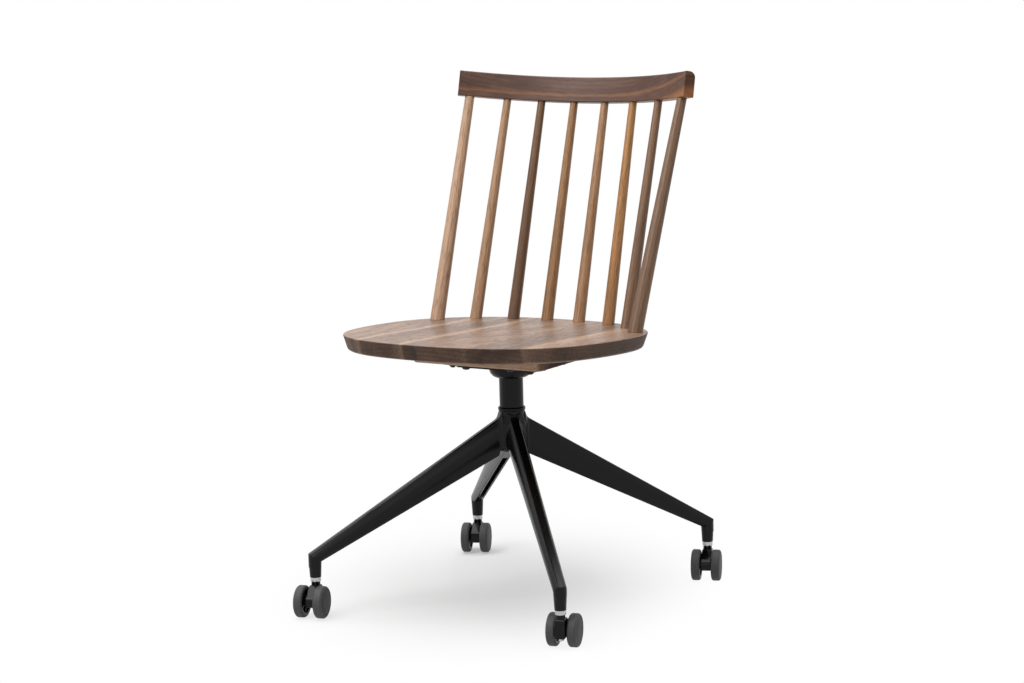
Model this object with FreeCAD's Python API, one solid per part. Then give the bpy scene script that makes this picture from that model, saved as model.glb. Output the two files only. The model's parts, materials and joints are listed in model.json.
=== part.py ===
import FreeCAD, Part
import math
import os

from FreeCAD import Placement, Rotation, Vector

# Bankers swivel chair on a four-arm cast base with twin-wheel castors.
# Millimetres, +Z up. The origin is on the floor under the swivel axis and the sitter faces -Y.

# Seat board, in its own frame: its top face is the plane z = 0 of that frame
seat_height = 426.2
seat_tilt = 3.2
seat_thickness = 24.0
seat_half_width = 220.0
seat_widest_y = -26.0
seat_front_reach = 245.0
seat_back_reach = 217.0
seat_front_half_width = 177.5
seat_back_half_width = 172.0
seat_front_bow = 50.5
seat_back_bow = 13.0
seat_front_corner = 169.5
seat_back_corner = 189.0
seat_undercut = 8.0
seat_top_round = 1.6
seat_bottom_round = 6.5

# Wedge that sets the tilt, and the flat board under it
wedge_half_width = 116.0
wedge_half_depth = 103.0
wedge_corner = 9.0
mount_board_drop = 43.2
mount_board_half_width = 88.0
mount_board_half_depth = 62.0
mount_board_thickness = 8.5
mount_board_corner = 6.0
board_edge_chamfer = 1.5

# Crest rail, in its own leaning frame: u runs up the rail, v runs backwards
rail_y = 256.6
rail_z = 763.7
rail_lean = 13.13
rail_chord = 418.7
rail_sagitta = 64.0
rail_thickness = 17.4
rail_height = 40.8
rail_back_round = 9.5
rail_edge_round = 1.8

# Spindles of the right half, from the middle outwards: places of their feet on the seat,
# and angles of their heads along the curve of the rail
spindle_feet = ((29.7, 163.6), (88.7, 155.2), (140.6, 122.4), (182.9, 72.7))
spindle_head_angles = (4.3, 12.9, 21.6, 31.0)
inner_spindle_foot = 19.7
inner_spindle_head = 12.8
outer_spindle_foot = 23.5
outer_spindle_head = 15.4
foot_tenon_diameter = 14.0
foot_tenon_length = 16.0
head_tenon_diameter = 10.0
head_tenon_length = 22.0
tenon_clearance = 0.1
tenon_end_gap = 0.8
tenon_root = 3.0
spindle_trim = 14.0

# Swivel plate, its drum and the turning column
plate_half_width = 72.0
plate_half_depth = 52.0
plate_thickness = 4.0
plate_corner = 10.0
drum_diameter = 68.0
drum_bottom_round = 14.4
drum_height = 18.8
column_diameter = 37.6
column_wall = 3.0
column_collar_diameter = 43.0
column_collar_height = 4.5
column_collar_chamfer = 1.5
shaft_diameter = 22.0

# Base casting: hub
hub_top = 300.0
hub_bottom = 237.5
hub_neck_diameter = 41.0
hub_body_diameter = 50.0
hub_neck_height = 7.0
hub_flare_height = 12.0
hub_flare_bend = 0.3
hub_bottom_round = 4.0
hub_recess_diameter = 38.0
hub_recess_depth = 9.0
hub_foot_margin = 0.5

# Base casting: arms, given by their top and bottom lines in side view
arm_side_angle = 43.2
arm_top_at_axis = 301.6
arm_top_slope = 0.62
arm_bottom_at_axis = 241.1
arm_bottom_slope = 0.50
arm_start = 6.0
arm_root_sweep = 16.0
arm_root_flare = 8.0
arm_root_flare_end = 26.0
arm_root_steps = (19.0, 21.0, 21.6, 22.6, 24.2, 26.2, 28.6)
arm_ridge_at_hub = 15.0
arm_ridge_at_tip = 14.0
arm_belly_at_hub = 28.0
arm_belly_at_tip = 21.0
arm_foot_at_hub = 15.0
arm_foot_at_tip = 13.0
arm_belly_level = 0.40
arm_ridge_round_at_hub = 4.0
arm_ridge_round_at_tip = 3.4
arm_tip_round = 5.0
arm_tip_overrun = 0.8
arm_tip_steps = (0.0, 0.4, 0.7, 0.9, 1.0)
arm_core_wall = 3.0
arm_core_start = 62.0
arm_core_end = 286.0
arm_core_roof = 7.0

# Castor sockets at the arm ends
socket_radius = 321.3
socket_bottom = 60.0
socket_end_diameter = 17.6
socket_root_diameter = 20.4
socket_bore_depth = 27.0
sleeve_outer_diameter = 12.6
sleeve_clearance = 0.05

# Swivel bearings in the hub
bush_outer_diameter = 28.0
bush_length = 20.0
bush_flange_diameter = 34.0
bush_flange_thickness = 2.4
bush_stand = 0.6
running_clearance = 0.05
thrust_gap = 0.1
retainer_washer_diameter = 33.0
retainer_washer_thickness = 2.0
clip_thickness = 1.5
clip_outer_diameter = 27.0
clip_groove_depth = 0.9
clip_opening = 5.0
retainer_gap = 0.3
shaft_tail = 2.0
shaft_end_chamfer = 0.8
cap_wall = 1.6
cap_rim_height = 4.0
cap_edge_inset = 3.2
cap_edge_bevel = 0.8
cap_clearance = 0.05

# Castors, in their own frame: the stem is the Z axis and the wheels trail along +Y
wheel_diameter = 50.0
wheel_width = 15.0
wheel_gap = 17.0
castor_trail = 19.0
housing_clearance = 0.5
stem_diameter = 11.0
stem_length = 24.0
stem_collar_diameter = 16.5
stem_collar_height = 7.4
stem_collar_chamfer = 1.0
stem_end_chamfer = 1.2
stem_journal_diameter = 8.0
stem_journal_bottom = 13.0
housing_neck_diameter = 14.0
housing_neck_height = 5.0
housing_drum_radius = 13.0
housing_boss_radius = 9.0
housing_bottom = 18.0
housing_shoulder_round = 5.0
housing_shoulder_setback = 1.0
housing_drum_top_angle = 62.0
housing_edge_chamfer = 1.0
castor_gap = 0.3
axle_diameter = 6.0
axle_end_gap = 0.8
axle_end_chamfer = 0.5
tread_thickness = 4.2
tread_shoulder = 3.6
tread_inset = 0.5
rim_thickness = 2.8
wheel_face_thickness = 3.2
wheel_face_dome = 0.9
wheel_face_flat = 0.55
wheel_boss_diameter = 13.0
wheel_rib_count = 6
wheel_rib_thickness = 1.6
wheel_rib_inset = 2.0
wheel_rib_overlap = 0.5
tread_fit = 0.05

# Direction in which each castor's wheels trail, in degrees from +X
castor_directions = {
    "front_left": -75.0,
    "front_right": 105.0,
    "rear_right": -69.5,
    "rear_left": -68.0,
}

# Screws
board_screw_diameter = 5.0
board_screw_head = 12.0
board_screw_head_height = 6.5
board_screw_length = 20.0
board_screw_x = 52.0
board_screw_y = 85.0
mount_screw_x = 78.0
mount_screw_y = 30.0
mount_screw_head = 9.0
mount_screw_head_height = 3.2
mount_screw_length = 22.0
plate_bolt_diameter = 8.0
plate_bolt_head = 14.0
plate_bolt_head_height = 5.0
plate_bolt_length = 16.0
plate_bolt_x = 58.0
plate_bolt_y = 38.0
screw_clearance = 0.1
head_edge_share = 0.5

# Levels that follow from the sizes above
tilt_slope = math.tan(math.radians(seat_tilt))
seat_underside = seat_height - seat_thickness / math.cos(math.radians(seat_tilt))
mount_board_top = seat_height - mount_board_drop
mount_board_bottom = mount_board_top - mount_board_thickness
plate_bottom = mount_board_bottom - plate_thickness
drum_bottom = plate_bottom - drum_height
column_bottom = hub_top + bush_stand + thrust_gap
wheel_radius = wheel_diameter / 2.0
arm_azimuths = {
    "front_left": -90.0 - arm_side_angle,
    "front_right": -90.0 + arm_side_angle,
    "rear_right": 90.0 - arm_side_angle,
    "rear_left": 90.0 + arm_side_angle,
}

# Length of the tools that trim or bore, beyond anything in the part
tool_reach = 4.0 * (seat_height + rail_chord)

SEAT_FRAME = Placement(Vector(0, 0, seat_height), Rotation(Vector(1, 0, 0), -seat_tilt))
RAIL_FRAME = Placement(Vector(0, rail_y, rail_z), Rotation(Vector(1, 0, 0), -rail_lean))
UP = Vector(0, 0, 1)


def save(name, shapes):
    """Write one node: a single solid, or a group of separate solids."""
    shape = shapes[0] if len(shapes) == 1 else Part.makeCompound(shapes)
    shape.exportStep("parts/" + name + ".step")


def moved(shape, placement):
    """Return a copy of the shape placed by the given placement."""
    result = shape.copy()
    result.Placement = placement.multiply(result.Placement)
    return result


def turned(shape, angle):
    """Return a copy turned about the Z axis of its frame."""
    return moved(shape, Placement(Vector(0, 0, 0), Rotation(UP, angle)))


def cylinder(radius, bottom, top, x=0.0, y=0.0):
    """Upright cylinder between two levels."""
    return Part.makeCylinder(radius, top - bottom, Vector(x, y, bottom))


def tube(outer_radius, inner_radius, bottom, top):
    """Upright ring between two levels about the Z axis."""
    bore = cylinder(inner_radius, bottom - 1.0, top + 1.0)
    return cylinder(outer_radius, bottom, top).cut(bore)


def closed_face(edges):
    """Flat face inside a closed chain of edges."""
    return Part.Face(Part.Wire(Part.__sortEdges__(edges)))


def line(a, b):
    """Straight edge between two points."""
    return Part.makeLine(a, b)


def arc(a, through, b):
    """Circular edge through three points."""
    return Part.Arc(a, through, b).toShape()


def corner_arc(centre, radius, start, end, point):
    """Quarter arc of a section, from one angle to another in degrees."""
    angles = (start, (start + end) / 2.0, end)
    ends = []
    for angle in angles:
        a = math.radians(angle)
        ends.append(point(centre[0] + radius * math.cos(a), centre[1] + radius * math.sin(a)))
    return arc(ends[0], ends[1], ends[2])


def polygon(points, closed_edges=()):
    """Face from straight runs between points, with given curved edges added."""
    edges = [line(a, b) for a, b in zip(points[:-1], points[1:])]
    return closed_face(edges + list(closed_edges))


def revolved(profile_points):
    """Solid of revolution about Z from (radius, level) points."""
    points = [Vector(r, 0, z) for r, z in profile_points]
    face = polygon(points + [points[0]])
    return face.revolve(Vector(0, 0, 0), UP, 360)


def rounded_board(half_width, half_depth, corner, bottom, top):
    """Rectangular board with upright rounded corners."""
    board = Part.makeBox(2 * half_width, 2 * half_depth, top - bottom,
                         Vector(-half_width, -half_depth, bottom))
    upright = [e for e in board.Edges if abs(e.tangentAt(e.FirstParameter).z) > 0.99]
    return board.makeFillet(corner, upright)


def edges_at_level(shape, level, tolerance=0.01):
    """Edges of a shape that lie wholly at one level."""
    found = []
    for edge in shape.Edges:
        box = edge.BoundBox
        if abs(box.ZMin - level) < tolerance and abs(box.ZMax - level) < tolerance:
            found.append(edge)
    return found


def seat_outline():
    """Closed outline of the seat's plan: four bowed sides with large rounded corners."""
    front = seat_widest_y - seat_front_reach
    back = seat_widest_y + seat_back_reach
    left_front = Vector(-seat_front_half_width, front + seat_front_bow, 0)
    right_front = Vector(seat_front_half_width, front + seat_front_bow, 0)
    right_back = Vector(seat_back_half_width, back - seat_back_bow, 0)
    left_back = Vector(-seat_back_half_width, back - seat_back_bow, 0)
    sides = [
        arc(left_front, Vector(0, front, 0), right_front),
        arc(right_front, Vector(seat_half_width, seat_widest_y, 0), right_back),
        arc(right_back, Vector(0, back, 0), left_back),
        arc(left_back, Vector(-seat_half_width, seat_widest_y, 0), left_front),
    ]
    prism = closed_face(sides).extrude(Vector(0, 0, 1))
    prism = prism.makeFillet(seat_front_corner, upright_edges(prism, -1))
    prism = prism.makeFillet(seat_back_corner, upright_edges(prism, 1))
    return [face for face in prism.Faces if face.BoundBox.ZMax < 0.01][0].OuterWire


def upright_edges(shape, side):
    """Upright edges of the seat prism on its front (-1) or back (1) corners, between its bowed sides."""
    found = []
    for edge in shape.Edges:
        box = edge.BoundBox
        sharp = box.XLength < 0.01 and box.YLength < 0.01
        corner_x = seat_front_half_width if side < 0 else seat_back_half_width
        if sharp and box.YMin * side > 0 and abs(abs(box.XMin) - corner_x) < 0.01:
            found.append(edge)
    return found


def rail_radius():
    """Radius of the rail's hollow front face, from its chord and its depth of curve."""
    return rail_chord ** 2 / (8.0 * rail_sagitta) + rail_sagitta / 2.0


def spindle_lines():
    """Foot and head points of the spindle axes, left to right, with their end diameters."""
    middle = rail_radius() + rail_thickness / 2.0
    right_half = []
    for (foot_x, foot_y), head_angle in zip(spindle_feet, spindle_head_angles):
        angle = math.radians(head_angle)
        head_x = middle * math.sin(angle)
        head_v = middle * math.cos(angle) - rail_radius()
        outer = foot_x == spindle_feet[-1][0]
        foot_diameter = outer_spindle_foot if outer else inner_spindle_foot
        head_diameter = outer_spindle_head if outer else inner_spindle_head
        right_half.append((foot_x, foot_y, head_x, head_v, foot_diameter, head_diameter))
    lines = []
    for side, half in ((-1, reversed(right_half)), (1, right_half)):
        for foot_x, foot_y, head_x, head_v, foot_diameter, head_diameter in half:
            foot = SEAT_FRAME.multVec(Vector(side * foot_x, foot_y, 0))
            head = RAIL_FRAME.multVec(Vector(side * head_x, head_v, 0))
            lines.append((foot, head, foot_diameter, head_diameter))
    return lines


def rod(start, end, radius):
    """Round rod between two points."""
    axis = end.sub(start)
    return Part.makeCylinder(radius, axis.Length, start, axis)


def foot_tenon(foot, head, extra_radius, extra_length):
    """Tenon that goes down into the seat board."""
    along = head.sub(foot).normalize()
    start = foot.sub(along * (foot_tenon_length + extra_length))
    return rod(start, foot.add(along * tenon_root), foot_tenon_diameter / 2.0 + extra_radius)


def head_tenon(foot, head, extra_radius, extra_length):
    """Tenon that goes up into the crest rail."""
    along = head.sub(foot).normalize()
    end = head.add(along * (head_tenon_length + extra_length))
    return rod(head.sub(along * tenon_root), end, head_tenon_diameter / 2.0 + extra_radius)


def slab(frame, low, high):
    """Large slab between two levels of a frame, used to trim the spindles."""
    box = Part.makeBox(tool_reach, tool_reach, high - low, Vector(-tool_reach / 2.0, -tool_reach / 2.0, low))
    return moved(box, frame)


def make_spindles():
    """Eight tapered spindles with shoulders that sit on the seat and under the rail."""
    below_seat = slab(SEAT_FRAME, -tool_reach, 0.0)
    above_rail = slab(RAIL_FRAME, 0.0, tool_reach)
    for number, (foot, head, foot_diameter, head_diameter) in enumerate(spindle_lines(), 1):
        axis = head.sub(foot)
        along = Vector(axis).normalize()
        taper = (foot_diameter - head_diameter) / axis.Length
        start_radius = (foot_diameter + taper * spindle_trim) / 2.0
        end_radius = (head_diameter - taper * spindle_trim) / 2.0
        shaft = Part.makeCone(start_radius, end_radius, axis.Length + 2 * spindle_trim,
                              foot.sub(along * spindle_trim), along)
        shaft = shaft.cut(below_seat).cut(above_rail)
        spindle = shaft.fuse([foot_tenon(foot, head, 0.0, 0.0), head_tenon(foot, head, 0.0, 0.0)])
        save("spindle_%d" % number, [spindle.removeSplitter()])


def make_seat_board():
    """Seat board with an undercut edge, eight tenon sockets and screw holes."""
    top = seat_outline()
    bottom = top.makeOffset2D(-seat_undercut)
    bottom.translate(Vector(0, 0, -seat_thickness))
    board = Part.makeLoft([top, bottom], True, True)
    board = board.makeFillet(seat_bottom_round, edges_at_level(board, -seat_thickness))
    board = board.makeFillet(seat_top_round, edges_at_level(board, 0.0))
    board = moved(board, SEAT_FRAME)
    holes = [foot_tenon(foot, head, tenon_clearance, tenon_end_gap) for foot, head, _, _ in spindle_lines()]
    holes += board_screw_holes() + mount_screw_holes()
    save("seat_board", [board.cut(holes)])


def make_crest_rail():
    """Curved crest rail, rounded along its back top edge, with eight tenon sockets."""
    radius = rail_radius()
    half_angle = math.degrees(math.asin(rail_chord / 2.0 / radius))
    outer = radius + rail_thickness
    top = rail_height
    e = rail_edge_round
    b = rail_back_round

    def point(r, z):
        return Vector(0, r, z)

    edges = [
        line(point(radius, e), point(radius, top - e)),
        corner_arc((radius + e, top - e), e, 180, 90, point),
        line(point(radius + e, top), point(outer - b, top)),
        corner_arc((outer - b, top - b), b, 90, 0, point),
        line(point(outer, top - b), point(outer, e)),
        corner_arc((outer - e, e), e, 0, -90, point),
        line(point(outer - e, 0), point(radius + e, 0)),
        corner_arc((radius + e, e), e, -90, -180, point),
    ]
    section = closed_face(edges)
    section.rotate(Vector(0, 0, 0), UP, half_angle)
    rail = section.revolve(Vector(0, 0, 0), UP, -2 * half_angle)
    rail = moved(rail, Placement(Vector(0, -radius, 0), Rotation()))
    rail = moved(rail, RAIL_FRAME)
    holes = [head_tenon(foot, head, tenon_clearance, tenon_end_gap) for foot, head, _, _ in spindle_lines()]
    save("crest_rail", [rail.cut(holes)])


def board_screw_places():
    """Places of the four pan-head screws through the wedge."""
    return [(sx * board_screw_x, sy * board_screw_y) for sx in (-1, 1) for sy in (-1, 1)]


def mount_screw_places():
    """Places of the four screws at the corners of the flat board."""
    return [(sx * mount_screw_x, sy * mount_screw_y) for sx in (-1, 1) for sy in (-1, 1)]


def plate_bolt_places():
    """Places of the four bolts through the swivel plate."""
    return [(sx * plate_bolt_x, sy * plate_bolt_y) for sx in (-1, 1) for sy in (-1, 1)]


def board_screw_holes():
    """Holes for the screws through the wedge into the seat."""
    radius = board_screw_diameter / 2.0 + screw_clearance
    top = mount_board_top + board_screw_length + tenon_end_gap
    return [cylinder(radius, mount_board_top - 1.0, top, x, y) for x, y in board_screw_places()]


def mount_screw_holes():
    """Holes for the screws through the flat board and the wedge."""
    radius = board_screw_diameter / 2.0 + screw_clearance
    top = mount_board_bottom + mount_screw_length + tenon_end_gap
    return [cylinder(radius, mount_board_bottom - 1.0, top, x, y) for x, y in mount_screw_places()]


def plate_bolt_holes():
    """Holes for the bolts through the swivel plate and into the wood."""
    radius = plate_bolt_diameter / 2.0 + screw_clearance
    top = plate_bottom + plate_bolt_length + tenon_end_gap
    return [cylinder(radius, plate_bottom - 1.0, top, x, y) for x, y in plate_bolt_places()]


def make_seat_wedge():
    """Wedge under the seat: level below, and tilted above to carry the seat board."""
    wedge = rounded_board(wedge_half_width, wedge_half_depth, wedge_corner, mount_board_top, seat_height)
    wedge = wedge.makeChamfer(board_edge_chamfer, edges_at_level(wedge, mount_board_top))
    wedge = wedge.cut(slab(SEAT_FRAME, -seat_thickness, tool_reach))
    save("seat_wedge", [wedge.cut(board_screw_holes() + mount_screw_holes() + plate_bolt_holes())])


def make_mount_board():
    """Flat board between the wedge and the swivel plate."""
    board = rounded_board(mount_board_half_width, mount_board_half_depth, mount_board_corner,
                          mount_board_bottom, mount_board_top)
    board = board.makeChamfer(board_edge_chamfer, edges_at_level(board, mount_board_bottom))
    save("mount_board", [board.cut(mount_screw_holes() + plate_bolt_holes())])


def pan_screw(x, y, seat_level, shank_radius, length, head_radius, head_height):
    """Screw pushed up from below, with a bevelled head under its seat level."""
    edge = head_height * head_edge_share
    head = cylinder(head_radius, seat_level - edge, seat_level, x, y)
    crown = Part.makeCone(head_radius - (head_height - edge), head_radius, head_height - edge,
                          Vector(x, y, seat_level - head_height))
    shank = cylinder(shank_radius, seat_level, seat_level + length, x, y)
    return head.fuse([crown, shank]).removeSplitter()


def make_fasteners():
    """Screws and bolts under the seat, each group in one node."""
    shank = board_screw_diameter / 2.0
    save("seat_screws", [
        pan_screw(x, y, mount_board_top, shank, board_screw_length, board_screw_head / 2.0,
                  board_screw_head_height) for x, y in board_screw_places()])
    save("mount_board_screws", [
        pan_screw(x, y, mount_board_bottom, shank, mount_screw_length, mount_screw_head / 2.0,
                  mount_screw_head_height) for x, y in mount_screw_places()])
    save("plate_bolts", [
        pan_screw(x, y, plate_bottom, plate_bolt_diameter / 2.0, plate_bolt_length,
                  plate_bolt_head / 2.0, plate_bolt_head_height) for x, y in plate_bolt_places()])


def make_swivel_plate():
    """Square plate with the rounded drum that takes the column and the shaft."""
    plate = rounded_board(plate_half_width, plate_half_depth, plate_corner, plate_bottom, mount_board_bottom)
    drum = cylinder(drum_diameter / 2.0, drum_bottom, plate_bottom)
    drum = drum.makeFillet(drum_bottom_round, edges_at_level(drum, drum_bottom))
    body = plate.fuse(drum)
    column_hole = cylinder(column_diameter / 2.0 + running_clearance, drum_bottom - 1.0,
                           drum_bottom + column_collar_height)
    shaft_hole = cylinder(shaft_diameter / 2.0 + running_clearance, drum_bottom, mount_board_bottom + 1.0)
    save("swivel_plate", [body.cut([column_hole, shaft_hole] + plate_bolt_holes())])


def make_column():
    """Turning column, its foot collar and the shaft inside it."""
    outer = column_diameter / 2.0
    save("column_tube", [tube(outer, outer - column_wall, column_bottom, drum_bottom + column_collar_height)])
    collar = tube(column_collar_diameter / 2.0, outer + running_clearance, column_bottom,
                  column_bottom + column_collar_height)
    rim = [e for e in edges_at_level(collar, column_bottom + column_collar_height)
           if e.BoundBox.XLength > column_diameter + 1.0]
    save("column_collar", [collar.makeChamfer(column_collar_chamfer, rim)])
    clip_top = lower_bush_bottom() - retainer_gap - retainer_washer_thickness
    shaft_bottom = clip_top - clip_thickness - shaft_tail
    shaft = cylinder(shaft_diameter / 2.0, shaft_bottom, mount_board_bottom)
    shaft = shaft.makeChamfer(shaft_end_chamfer, edges_at_level(shaft, shaft_bottom))
    groove = tube(shaft_diameter, shaft_diameter / 2.0 - clip_groove_depth, clip_top - clip_thickness, clip_top)
    save("swivel_shaft", [shaft.cut(groove)])


def lower_bush_bottom():
    """Level of the lower bush's flange face in the hub recess."""
    return hub_bottom + hub_recess_depth - bush_flange_thickness


def make_bushes():
    """Flanged bushes at the two ends of the hub bore."""
    inner = shaft_diameter / 2.0 + running_clearance
    outer = bush_outer_diameter / 2.0
    flange = bush_flange_diameter / 2.0
    top = hub_top + bush_stand
    upper = tube(outer, inner, top - bush_length, top).fuse(tube(flange, inner, top - bush_flange_thickness, top))
    save("upper_bush", [upper.removeSplitter()])
    low = lower_bush_bottom()
    lower = tube(outer, inner, low, low + bush_length).fuse(tube(flange, inner, low, low + bush_flange_thickness))
    save("lower_bush", [lower.removeSplitter()])


def make_retainer():
    """Washer and open spring clip that hold the shaft up in the hub, and the hub's bottom cap."""
    low = lower_bush_bottom() - retainer_gap
    inner = shaft_diameter / 2.0 + running_clearance
    washer = tube(retainer_washer_diameter / 2.0, inner, low - retainer_washer_thickness, low)
    save("retaining_washer", [washer])
    clip_top = low - retainer_washer_thickness
    clip = tube(clip_outer_diameter / 2.0, shaft_diameter / 2.0 - clip_groove_depth,
                clip_top - clip_thickness, clip_top)
    mouth = Part.makeBox(clip_outer_diameter, clip_opening, clip_thickness,
                         Vector(0, -clip_opening / 2.0, clip_top - clip_thickness))
    save("retaining_clip", [clip.cut(mouth)])
    edge = hub_body_diameter / 2.0 - cap_edge_inset
    outer = hub_recess_diameter / 2.0 - cap_clearance
    cap = revolved([
        (0.0, hub_bottom - cap_wall), (edge - cap_edge_bevel, hub_bottom - cap_wall),
        (edge, hub_bottom), (outer, hub_bottom),
        (outer, hub_bottom + cap_rim_height), (outer - cap_wall, hub_bottom + cap_rim_height),
        (outer - cap_wall, hub_bottom), (0.0, hub_bottom)])
    save("hub_cap", [cap])


def arm_line(radius):
    """Level of the straight run of an arm's top edge."""
    return arm_top_at_axis - arm_top_slope * radius


def arm_end():
    """Radius at which an arm's top edge ends, just outside its turned-down tip."""
    return socket_radius + socket_root_diameter / 2.0 + arm_tip_overrun


def arm_tip_start():
    """Radius at which an arm's top edge starts to round over."""
    return arm_end() - arm_tip_round * (1.0 - arm_top_slope / math.hypot(1.0, arm_top_slope))


def arm_top(radius):
    """Level of an arm's top edge: swept up into the hub's neck, straight, and rounded over at the tip."""
    neck = hub_neck_diameter / 2.0
    across_line = math.hypot(1.0, arm_top_slope)
    root_centre = neck + arm_root_sweep
    if radius < root_centre - arm_root_sweep * arm_top_slope / across_line:
        reach = root_centre - max(radius, neck)
        lift = arm_root_sweep * across_line - math.sqrt(arm_root_sweep ** 2 - reach ** 2)
        return arm_line(root_centre) + lift
    if radius > arm_tip_start():
        tip_centre = arm_end() - arm_tip_round
        reach = min(radius - tip_centre, arm_tip_round)
        drop = arm_tip_round * across_line - math.sqrt(arm_tip_round ** 2 - reach ** 2)
        return arm_line(tip_centre) - drop
    return arm_line(radius)


def root_flare(radius):
    """Extra half width of an arm where its sides sweep out into the hub."""
    reach = min(max(arm_root_flare_end - radius, 0.0), arm_root_flare_end - arm_root_steps[0])
    return arm_root_flare - math.sqrt(arm_root_flare ** 2 - reach ** 2)


def arm_section(radius, ridge, belly, foot, ridge_round):
    """Upright section of an arm: narrow rounded ridge, bellied sides and a flat foot."""
    top = arm_top(radius)
    bottom = arm_bottom_at_axis - arm_bottom_slope * radius
    level = bottom + (arm_line(radius) - bottom) * arm_belly_level
    flare = root_flare(radius)
    t = ridge / 2.0 + flare
    m = belly / 2.0 + flare
    f = foot / 2.0 + flare
    r = ridge_round

    def point(across, z):
        return Vector(radius, across, z)

    edges = [
        line(point(-(t - r), top), point(t - r, top)),
        corner_arc((t - r, top - r), r, 90, 0, point),
        arc(point(t, top - r), point(m, level), point(f, bottom)),
        line(point(f, bottom), point(-f, bottom)),
        arc(point(-f, bottom), point(-m, level), point(-t, top - r)),
        corner_arc((-(t - r), top - r), r, 180, 90, point),
    ]
    return Part.Wire(edges)


def core_section(radius, ridge, belly, foot):
    """Section of the hollow under an arm, a wall inside the arm's own section and open below."""
    top = arm_line(radius) - arm_core_roof
    bottom = arm_bottom_at_axis - arm_bottom_slope * radius
    level = bottom + (top + arm_core_roof - bottom) * arm_belly_level
    w = arm_core_wall
    t = ridge / 2.0 - w
    m = belly / 2.0 - w
    f = foot / 2.0 - w
    low = bottom - w
    corners = [
        Vector(radius, -t, top), Vector(radius, t, top), Vector(radius, m, level), Vector(radius, f, bottom),
        Vector(radius, f, low), Vector(radius, -f, low), Vector(radius, -f, bottom), Vector(radius, -m, level),
    ]
    return Part.makePolygon(corners + corners[:1])


def share_along(radius):
    """How far along the arm a radius lies, from 0 at the axis to 1 at the castor socket."""
    return radius / socket_radius


def arm_widths(radius):
    """Widths of the ridge, belly and foot at a radius, and the rounding of the ridge."""
    k = share_along(radius)
    ridge = arm_ridge_at_hub + (arm_ridge_at_tip - arm_ridge_at_hub) * k
    belly = arm_belly_at_hub + (arm_belly_at_tip - arm_belly_at_hub) * k
    foot = arm_foot_at_hub + (arm_foot_at_tip - arm_foot_at_hub) * k
    ridge_round = arm_ridge_round_at_hub + (arm_ridge_round_at_tip - arm_ridge_round_at_hub) * k
    return ridge, belly, foot, ridge_round


def make_arm():
    """One arm along +X: a tapering beam that turns down into a castor socket."""
    reach = socket_root_diameter / 2.0
    tip_start = arm_tip_start()
    tip_radii = [tip_start + (arm_end() - tip_start) * share for share in arm_tip_steps]
    radii = [arm_start, *arm_root_steps, *tip_radii]
    beam = Part.makeLoft([arm_section(r, *arm_widths(r)) for r in radii], True, True)
    keep_inner = Part.makeBox(socket_radius, tool_reach, tool_reach, Vector(0, -tool_reach / 2.0, 0))
    keep_tip = cylinder(reach, 0.0, tool_reach, socket_radius, 0.0)
    beam = beam.common(keep_inner.fuse(keep_tip))
    socket_top = arm_bottom_at_axis - arm_bottom_slope * (socket_radius - reach)
    socket = Part.makeCone(socket_end_diameter / 2.0, reach, socket_top - socket_bottom,
                           Vector(socket_radius, 0, socket_bottom))
    return beam.fuse(socket).removeSplitter()


def make_arm_core():
    """Hollow under one arm, open below, as the casting core leaves it."""
    wires = [core_section(r, *arm_widths(r)[:3]) for r in (arm_core_start, arm_core_end)]
    return Part.makeLoft(wires, True, True)


def make_hub():
    """Hub between the arms, with its neck flaring into a wider body."""
    neck = hub_neck_diameter / 2.0
    body = hub_body_diameter / 2.0
    neck_bottom = hub_top - hub_neck_height
    flare_bottom = neck_bottom - hub_flare_height
    q = hub_bottom_round

    def point(r, z):
        return Vector(r, 0, z)

    third = point(neck + (body - neck) * hub_flare_bend, (neck_bottom + flare_bottom) / 2.0)
    edges = [
        line(point(0, hub_bottom), point(body - q, hub_bottom)),
        corner_arc((body - q, hub_bottom + q), q, -90, 0, point),
        line(point(body, hub_bottom + q), point(body, flare_bottom)),
        arc(point(body, flare_bottom), third, point(neck, neck_bottom)),
        line(point(neck, neck_bottom), point(neck, hub_top)),
        line(point(neck, hub_top), point(0, hub_top)),
        line(point(0, hub_top), point(0, hub_bottom)),
    ]
    return closed_face(edges).revolve(Vector(0, 0, 0), UP, 360)


def make_base_casting():
    """Hub and four arms in one casting, cored below and bored for bushes and castor sleeves."""
    arm = make_arm()
    core = make_arm_core()
    arms = [turned(arm, azimuth) for azimuth in arm_azimuths.values()]
    cores = [turned(core, azimuth) for azimuth in arm_azimuths.values()]
    casting = make_hub().fuse(arms).removeSplitter()
    bush_bore = cylinder(bush_outer_diameter / 2.0 + running_clearance, hub_bottom - 1.0, hub_top + 1.0)
    recess = cylinder(hub_recess_diameter / 2.0, 0.0, hub_bottom + hub_recess_depth)
    flange_seat = cylinder(bush_flange_diameter / 2.0 + running_clearance,
                           hub_top + bush_stand - bush_flange_thickness, hub_top + 1.0)
    bores = []
    for azimuth in arm_azimuths.values():
        x = socket_radius * math.cos(math.radians(azimuth))
        y = socket_radius * math.sin(math.radians(azimuth))
        bores.append(cylinder(sleeve_outer_diameter / 2.0 + sleeve_clearance, socket_bottom - 1.0,
                              socket_bottom + socket_bore_depth, x, y))
    under_hub = cylinder(hub_body_diameter / 2.0 + hub_foot_margin, 0.0, hub_bottom)
    save("base_casting", [casting.cut(cores + [bush_bore, recess, flange_seat, under_hub] + bores)])


def castor_frame(name):
    """Placement of a castor: its stem axis, turned so that +Y trails in its direction."""
    azimuth = math.radians(arm_azimuths[name])
    place = Vector(socket_radius * math.cos(azimuth), socket_radius * math.sin(azimuth), 0)
    return Placement(place, Rotation(UP, castor_directions[name] - 90.0))


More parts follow.
